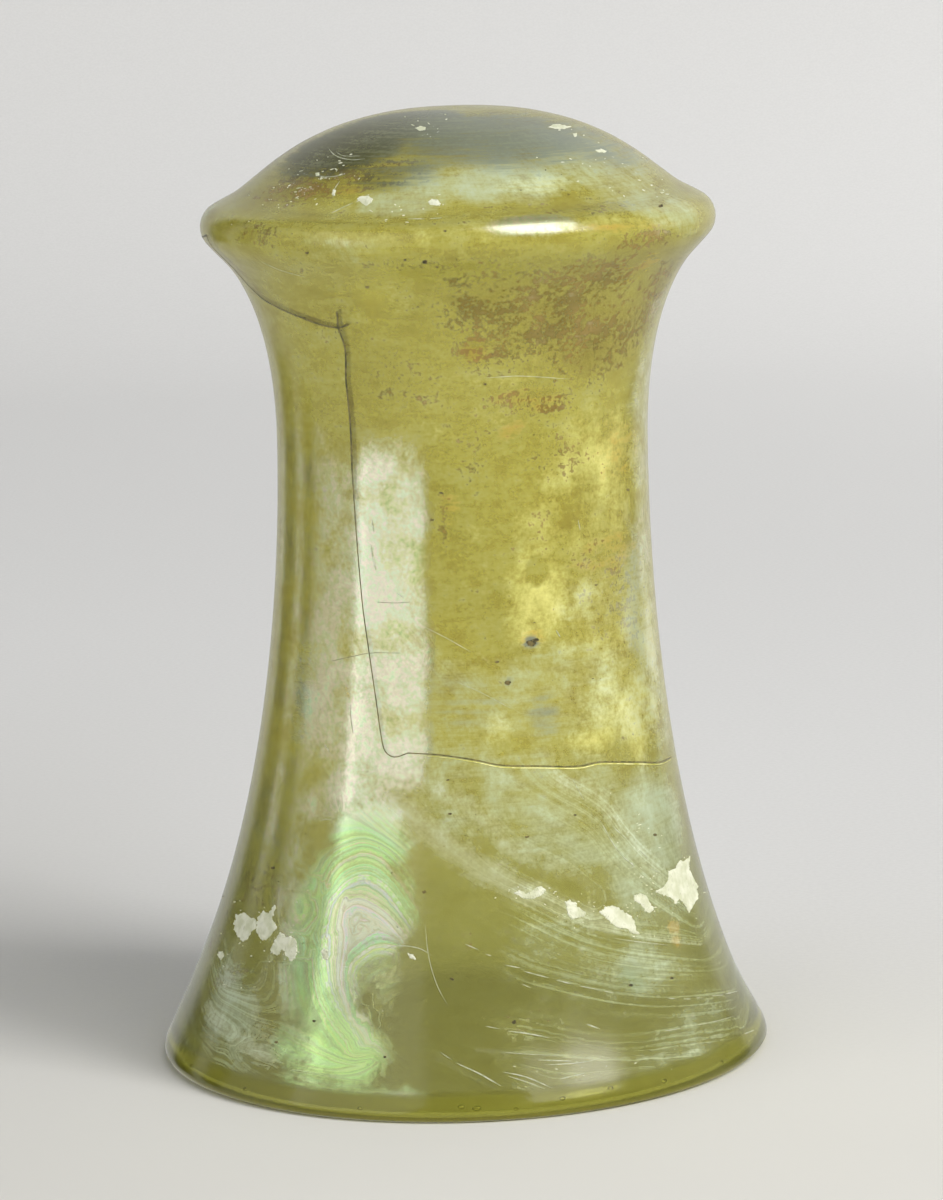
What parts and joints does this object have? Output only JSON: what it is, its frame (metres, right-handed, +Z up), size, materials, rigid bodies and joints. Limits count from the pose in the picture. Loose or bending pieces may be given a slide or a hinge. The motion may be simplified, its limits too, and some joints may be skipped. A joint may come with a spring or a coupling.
{
  "type": "glass bell beaker",
  "caption": "Hollow blown glass drinking vessel with a flared mouth, narrow waist, ridge and rounded base, standing on its mouth.",
  "frame": {"origin": "centre of the mouth, on the plane that the rim rests on", "axes": "+Z up from the mouth to the rounded base; +X the side that the body leans to; the picture's front faces -Y"},
  "size_m": [0.073, 0.073, 0.113],
  "materials": {
    "olive_glass": "olive glass, weathered, with milky and iridescent films"
  },
  "bodies": {
    "root": {"beaker": "olive_glass"}
  },
  "joints": []
}
